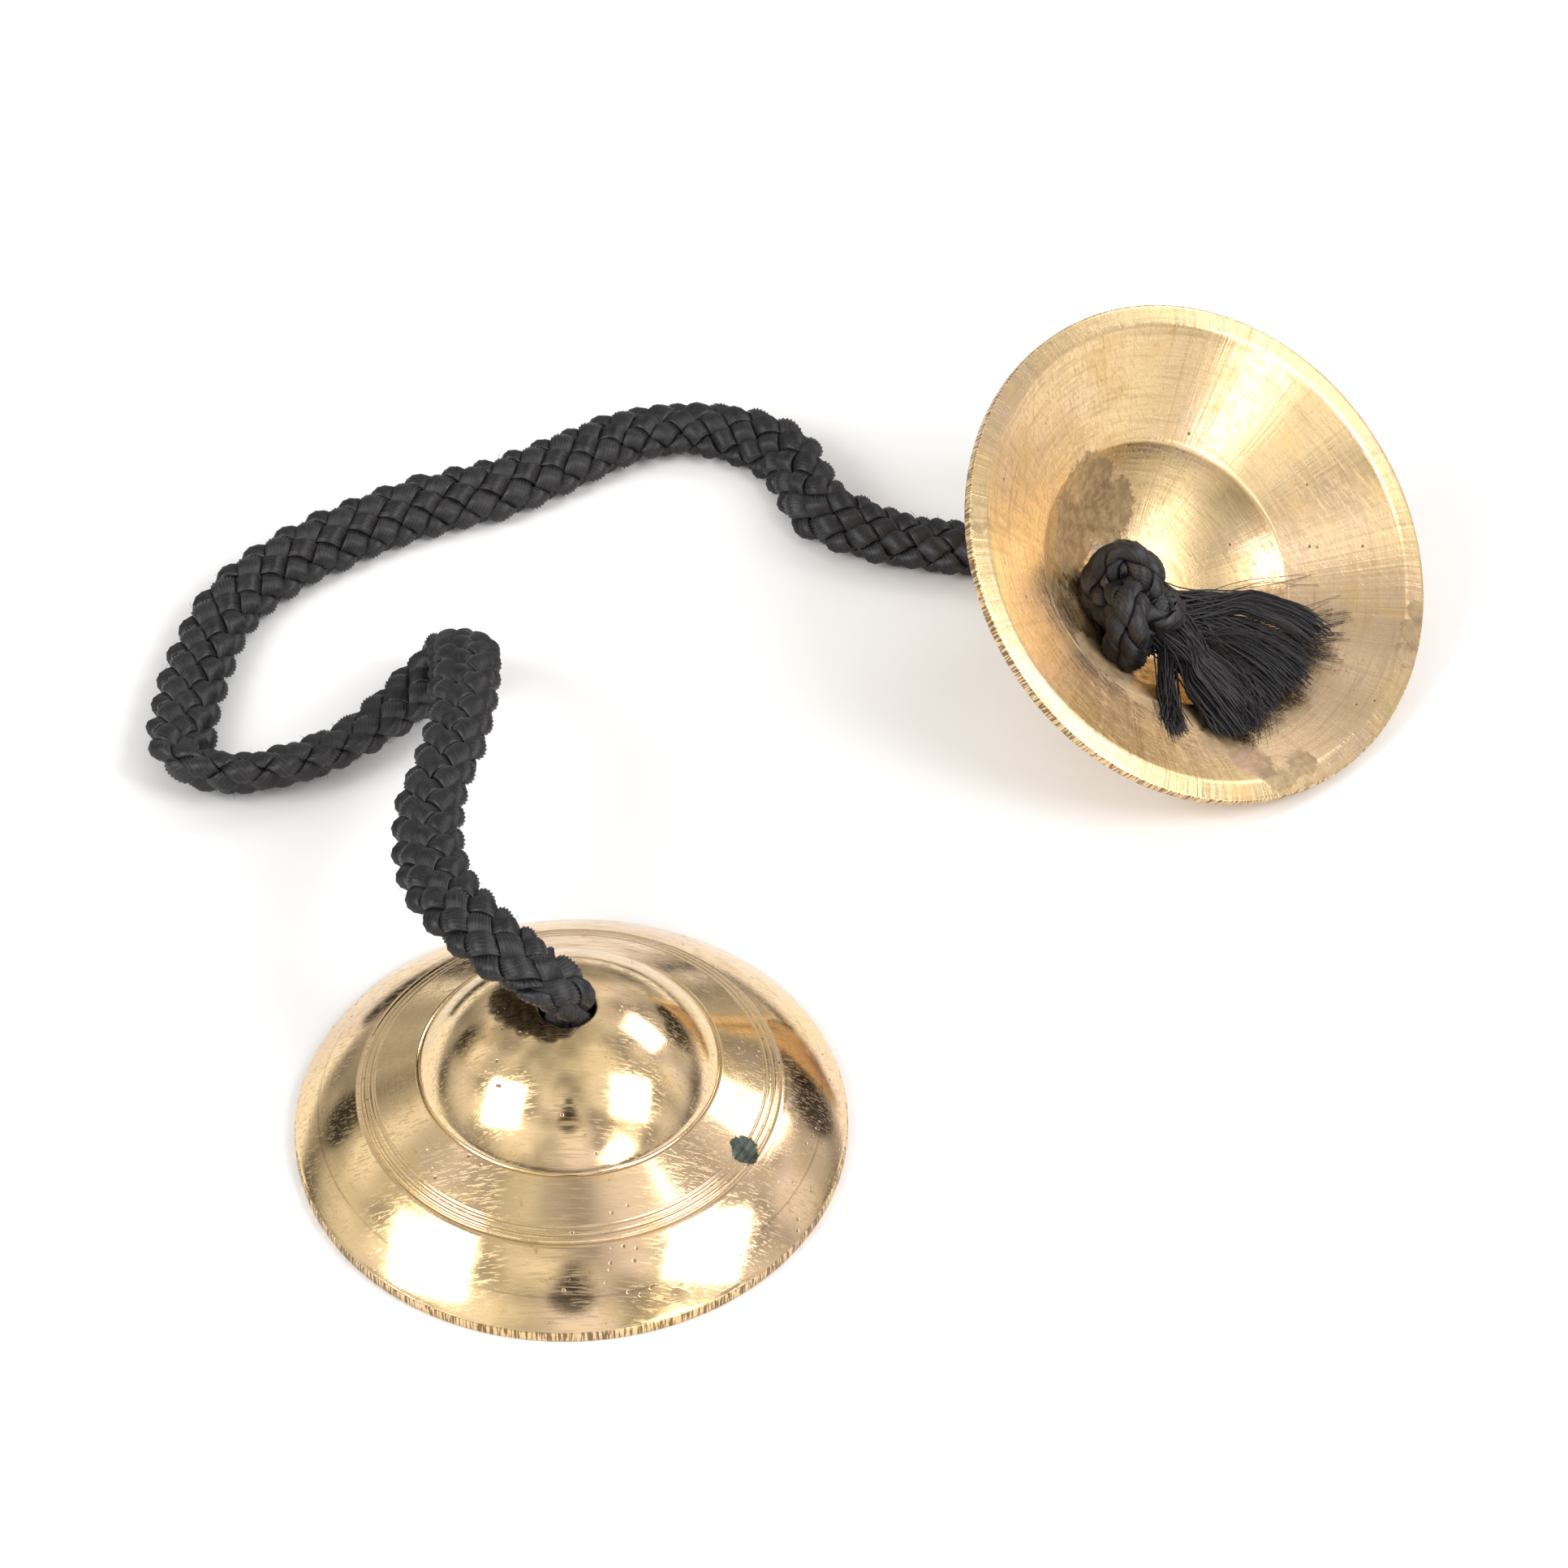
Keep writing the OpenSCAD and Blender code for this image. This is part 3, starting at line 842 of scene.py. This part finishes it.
def outside_profile():
    """From the lip's outer edge over the flange and dome into the hole, as [radius, height] in mm.

    The small numbers round the corners.
    """
    step = np.array([STEP_R + 0.5, dome_h(STEP_R) - 0.25])
    foot = np.array([STEP_R + 0.12, dome_h(STEP_R) - 0.38])
    crown = np.linspace(STEP_R, HOLE_R + 0.35, 40)
    return np.vstack([
        [[RIM_R - EDGE_BEVEL, 0.0], [RIM_R - 0.06, 0.06], [RIM_R, EDGE_BEVEL], [RIM_R, 0.7]],
        [[RIM_R, EDGE_H - 0.12], [RIM_R - 0.05, EDGE_H + 0.02]],
        straight(np.array([RIM_R - 0.16, EDGE_H + 0.16]), SHOULDER, 24, FLANGE_BULGE),
        grooved(SHOULDER, step),
        [step, step - [0.16, 0.02], foot + [0.1, 0.0], foot],
        np.column_stack([crown, dome_h(crown)]),
        [[HOLE_R + 0.16, dome_h(HOLE_R) - 0.06], [HOLE_R, dome_h(HOLE_R) - 0.3]],
    ])


def inside_profile():
    """From the hole over the cup and the cone to the flat lip, as [radius, height] in mm.

    The small numbers round the corners.
    """
    cup = np.linspace(HOLE_R + 0.3, CUP_R, 40)
    hole_low = cup_h(HOLE_R)
    lip_in = np.array([RIM_R - LIP_W, 0.0])
    return np.vstack([
        [[HOLE_R, hole_low + 0.8], [HOLE_R, hole_low + 0.25], [HOLE_R + 0.1, hole_low + 0.06]],
        np.column_stack([cup, cup_h(cup)]),
        [[CUP_R + 0.1, CUP_H - 0.02], [CUP_R + 0.3, CUP_H - 0.15]],
        straight(np.array([CUP_R + 0.55, CUP_H - 0.35]), lip_in + [-0.35, 0.26], 30),
        [lip_in + [-0.35, 0.26], lip_in + [-0.16, 0.12], lip_in + [0.05, 0.03], lip_in + [0.3, 0.0]],
        straight(lip_in + [0.45, 0], np.array([RIM_R - EDGE_BEVEL, 0.0]), 7),
    ])


def cymbal_points(section, rng):
    """Points of a solid of revolution with the slight unevenness of hand turning, by step and ring."""
    angle = np.arange(LATHE_STEPS) * 2 * math.pi / LATHE_STEPS
    radius = np.repeat(section[None, :, 0], LATHE_STEPS, 0)
    height = np.repeat(section[None, :, 1], LATHE_STEPS, 0)
    sway = sum(np.sin(k * angle + rng.uniform(0, 6.28)) / k for k in SWAY_WAVES_ROUND)[:, None]
    nicks = np.convolve(rng.normal(0, 1, LATHE_STEPS + 2), [0.25, 0.5, 0.25], "valid")[:, None]
    at_rim = (radius > RIM_RADIUS) & (height < 1.4 * MM) & (height > 0.1 * MM)
    radius = (radius + sway * SWAY_DEPTH * MM * (radius / (RIM_R * MM))
              - at_rim * np.abs(nicks) * NICK_DEPTH * MM)
    return np.stack([radius * np.cos(angle)[:, None], radius * np.sin(angle)[:, None], height], -1)


def add_cymbal(name, place, body, replaced, outside_spots, inside_spots, seed):
    outside, inside = outside_profile(), inside_profile()
    section = np.vstack([outside, inside]) * MM
    rings = len(section)
    points = cymbal_points(section, np.random.default_rng(seed))
    i, k = np.meshgrid(np.arange(LATHE_STEPS), np.arange(rings), indexing="ij")
    after, up = (i + 1) % LATHE_STEPS, (k + 1) % rings
    quads = np.stack([i * rings + k, after * rings + k, after * rings + up, i * rings + up], -1)
    along = np.stack([k, k, k + 1, k + 1], -1) / rings
    around = np.stack([i, i + 1, i + 1, i], -1) / LATHE_STEPS
    uv = np.stack([along, around], -1).reshape(-1, 2)
    piece = mesh_piece(name, placed(points.reshape(-1, 3), place), quads.reshape(-1, 4),
                       brass(name + "_outside", place, outside_spots, OUTSIDE), uv)
    piece.data.materials.append(brass(name + "_inside", place, inside_spots, INSIDE))
    inner = np.tile(np.arange(rings) >= len(outside), LATHE_STEPS).astype(np.int32)
    piece.data.polygons.foreach_set("material_index", inner)
    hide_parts(replaced)
    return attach(piece, body)


# ---------------------------------------------------------------- building the object

add_camera()

braid_material = black_yarn("black_braid", 15.0, 0.36, YARNS)
yarn_material = black_yarn("black_tassel", 7.0, 0.38)

# One line carries the necks and the free run, so that their strands meet
bore = np.array([[0, 0, height] for height in BORE_HEIGHTS]) * MM
bore_left = placed(bore, LEFT_PLACE)
bore_right = placed(bore[::-1], RIGHT_PLACE)
cord_line = Line(np.vstack([bore_left, ROUTE, bore_right]),
                 [FLAT[0]] * 3 + FLAT + [FLAT[-1]] * 3)
left_s = cord_line.far[np.argmin(np.linalg.norm(cord_line.run - LEFT_FLEX, axis=1))]
right_s = cord_line.far[np.argmin(np.linalg.norm(cord_line.run - RIGHT_FLEX, axis=1))]


def opened(s, full):
    """A half width that grows from the bore's to its full size over the taper, at both ends."""
    near = np.minimum(s - left_s, right_s - s) + TAPER_START
    share = np.clip(near / TAPER, 0, 1)
    return BORE_HALF + (full - BORE_HALF) * share * share * (3 - 2 * share)


def half_wide(s):
    return opened(s, CORD_WIDE / 2)


def half_thick(s):
    return opened(s, CORD_THICK / 2)


def add_cord():
    start, stop = left_s + NECK_REACH, right_s - NECK_REACH
    run = braid("cord_braid", cord_line, start, stop, half_wide, half_thick, braid_material)
    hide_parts("cord")
    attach(run, "cord")
    return run


def add_neck(name, start, stop, replaced, outward):
    neck = braid(name, cord_line, start, stop, half_wide, half_thick, braid_material)
    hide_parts(replaced)
    outward = outward / np.linalg.norm(outward) * BEND_HALF
    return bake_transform(neck)


FUZZ_COUNT, FUZZ_RADIUS = 260, 0.025 * MM


def add_fuzz():
    """Short stray fibres standing off the braid."""
    rng = np.random.default_rng(5)
    starts = rng.uniform(left_s + 5 * MM, right_s - 5 * MM, FUZZ_COUNT)

    def route(s):
        angle = rng.uniform(0, 2 * math.pi)
        lean = rng.uniform(-1, 1) * 1.6 * MM
        reach = rng.uniform(0.3, 1.0) * MM
        t = np.linspace(0, 1, 6)
        rise = (0.35 + 0.3 * t) * STRAND_HALF + reach * t**1.5
        points = on_braid(cord_line, s + lean * t, angle + 0.5 * t, rise, half_wide, half_thick)
        return points, np.linspace(1, 0.6, 6)

    piece = hairs("cord_stray_fibres", starts, route, FUZZ_RADIUS, yarn_material)
    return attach(piece, "cord")


cord = add_cord()
neck_left = add_neck("neck_left", left_s - NECK_DEPTH, left_s + NECK_REACH,
                     "cord_neck_left", LEFT_OUTWARD)
neck_right = add_neck("neck_right", right_s - NECK_REACH, right_s + NECK_DEPTH,
                      "cord_neck_right",
                      np.array(cord_line.at(right_s - BEND_HALF)) - RIGHT_FLEX)
fuzz = add_fuzz()
knot_left = add_knot("knot_left_braid", LEFT_PLACE, "left_end", TASSEL_LEFT, "knot_left",
                     braid_material)
knot_right = add_knot("knot_right_braid", RIGHT_PLACE, "right_end", TASSEL_RIGHT, "knot_right",
                      braid_material)
tassel_left = add_tassel("tassel_left_yarns", LEFT_PLACE, "left_end", TASSEL_LEFT, "tassel_left",
                         yarn_material, loose=False)
tassel_right = add_tassel("tassel_right_yarns", RIGHT_PLACE, "right_end", TASSEL_RIGHT,
                          "tassel_right", yarn_material, loose=True)

cord_path = cord_line.at(np.linspace(left_s + NECK_REACH / 2, right_s - NECK_REACH / 2, 200))

# Spots in a cymbal's own frame: place in mm, size and kind
LEFT_SPOTS = [((19.1, -10.2, 8.2), 1.7, "green")]
RIGHT_SPOTS = [
    ((-12.5, 1.5, 12.0), 5.4, "stain"), ((-9.5, -2.0, 13.8), 4.0, "stain"),
    ((-9.5, 5.0, 13.3), 4.2, "stain"),
    ((3.4, 12.3, 12.0), 3.6, "film"), ((9.1, 11.7, 9.9), 3.8, "film"),
    ((13.9, 10.9, 6.9), 3.0, "film"), ((23.0, 9.9, 1.8), 2.6, "pink"),
    ((19.1, 10.5, 4.0), 2.6, "film"), ((25.6, 8.4, 0.6), 2.6, "film"),
    ((26.2, 5.2, 0.6), 2.0, "film"), ((22.8, -18.2, 0.0), 2.0, "film"),
    ((24.2, -15.6, 0.0), 1.7, "film"), ((21.0, -20.4, 0.0), 1.4, "film"),
    ((-17.9, 22.9, 0.0), 1.6, "film"),
    ((-5.0, -2.0, 16.2), 1.2, "crust"), ((-6.2, 0.9, 15.7), 1.0, "crust"),
]
add_cymbal("cymbal_left_turned", LEFT_PLACE, "left_cymbal", "cymbal_left", LEFT_SPOTS, [], 1)
add_cymbal("cymbal_right_turned", RIGHT_PLACE, "right_cymbal", "cymbal_right", [], RIGHT_SPOTS, 2)


# ---------------------------------------------------------------- studio

TARGET = Vector((0, 0, 0.01))
SOFTBOX_TURN = math.radians(35)
FLOOR_HALF, FLOOR_LOW = 4.0, -0.00005   # half its side, and how low it lies
FLOOR_WHITE = 0.93
# Brightness of the room, from the horizon and below it (0) to straight overhead (1)
ROOM_STOPS = [(0.0, 0.9), (0.02, 0.42), (0.10, 0.30), (0.20, 0.64), (0.45, 0.94), (1.0, 0.84)]
ROOM_TINT = (1, 0.985, 0.96)
PATCH_SHADE = 0.12                # what share of the room's light a dark patch keeps


def add_floor():
    n = new_material("floor")
    n.shader.inputs["Base Color"].default_value = (FLOOR_WHITE, FLOOR_WHITE, FLOOR_WHITE, 1)
    n.shader.inputs["Roughness"].default_value = 0.9
    n.shader.inputs["Specular IOR Level"].default_value = 0.1
    half, low = FLOOR_HALF, FLOOR_LOW
    corners = [(-half, -half, low), (half, -half, low), (half, half, low), (-half, half, low)]
    mesh_piece("floor", corners, [(0, 1, 2, 3)], n.material, smooth=False)


def add_softbox(name, direction, distance, size, radiance):
    """A rectangular light that the brass mirrors, in a direction from the object."""
    data = bpy.data.lights.new(name, "AREA")
    data.shape = "RECTANGLE"
    data.size, data.size_y = size
    data.energy = radiance * math.pi * size[0] * size[1]
    light = bpy.data.objects.new(name, data)
    towards = Vector(direction).normalized()
    light.location = TARGET + towards * distance
    facing = towards.to_track_quat("Z", "Y").to_matrix() @ Matrix.Rotation(SOFTBOX_TURN, 3, "Z")
    light.rotation_euler = facing.to_euler()
    light.visible_camera = False
    bpy.context.scene.collection.objects.link(light)


# Darker places in the room: towards where, and how wide
DARK_PATCHES = [
    ((0, -0.49, 0.87), 0.055), ((0, -0.57, 0.82), 0.085), ((0, -0.67, 0.74), 0.13),
    ((0.75, 0.63, 0.21), 0.15), ((0.62, 0.76, 0.19), 0.11), ((-0.80, 0.55, 0.30), 0.13),
]


def room_colour(n, at):
    """The room's brightness by height, with slow uneven patches."""
    ramp = n.add("ValToRGB")
    elements = ramp.color_ramp.elements
    elements[0].position = ROOM_STOPS[0][0]
    elements[1].position = ROOM_STOPS[-1][0]
    for position, _ in ROOM_STOPS[1:-1]:
        elements.new(position)
    for element, (_, value) in zip(elements, ROOM_STOPS):
        element.color = (*(value * tint for tint in ROOM_TINT), 1)
    n.link(n.add("SeparateXYZ", Vector=at).outputs[2], ramp.inputs[0])
    uneven = n.noise(at, 2.6, 1.5, 0.5)
    return n.mix(1.0, ramp.outputs[0], n.step(uneven, 0.38, 0.60, 0.45, 1.15, "LINEAR"), "MULTIPLY")


def add_room():
    """A pale, slightly warm room: dimmer towards the horizon, with a few soft darker patches."""
    world = bpy.data.worlds.new("room")
    bpy.context.scene.world = world
    world.use_nodes = True
    world.node_tree.nodes.clear()
    n = Nodes(world.node_tree)
    at = n.add("TexCoord").outputs["Generated"]
    colour = room_colour(n, at)
    for direction, size in DARK_PATCHES:
        away = n.add("VectorMath", {"operation": "DISTANCE"}, i0=at, i1=Vector(direction).normalized())
        shade = n.step(away.outputs["Value"], 0.8 * size, 1.15 * size, PATCH_SHADE, 1.0)
        colour = n.mix(1.0, colour, shade, "MULTIPLY")
    sky = n.add("Background", Color=colour)
    n.add("OutputWorld", Surface=sky.outputs[0])


add_floor()
add_softbox("softbox_left", (-0.68, -0.35, 0.61), 1.2, (0.54, 0.54), 6.5)
add_softbox("softbox_right", (0.62, -0.31, 0.69), 1.2, (0.54, 0.54), 6.5)
add_softbox("softbox_front", (0.50, -0.80, 0.35), 1.2, (0.45, 0.35), 4.0)
add_softbox("softbox_back", (0.62, 0.48, 0.62), 1.3, (0.5, 0.4), 4.0)
add_room()

view = bpy.context.scene.view_settings
view.view_transform = "Standard"
view.look = "None"
view.exposure = 0.0
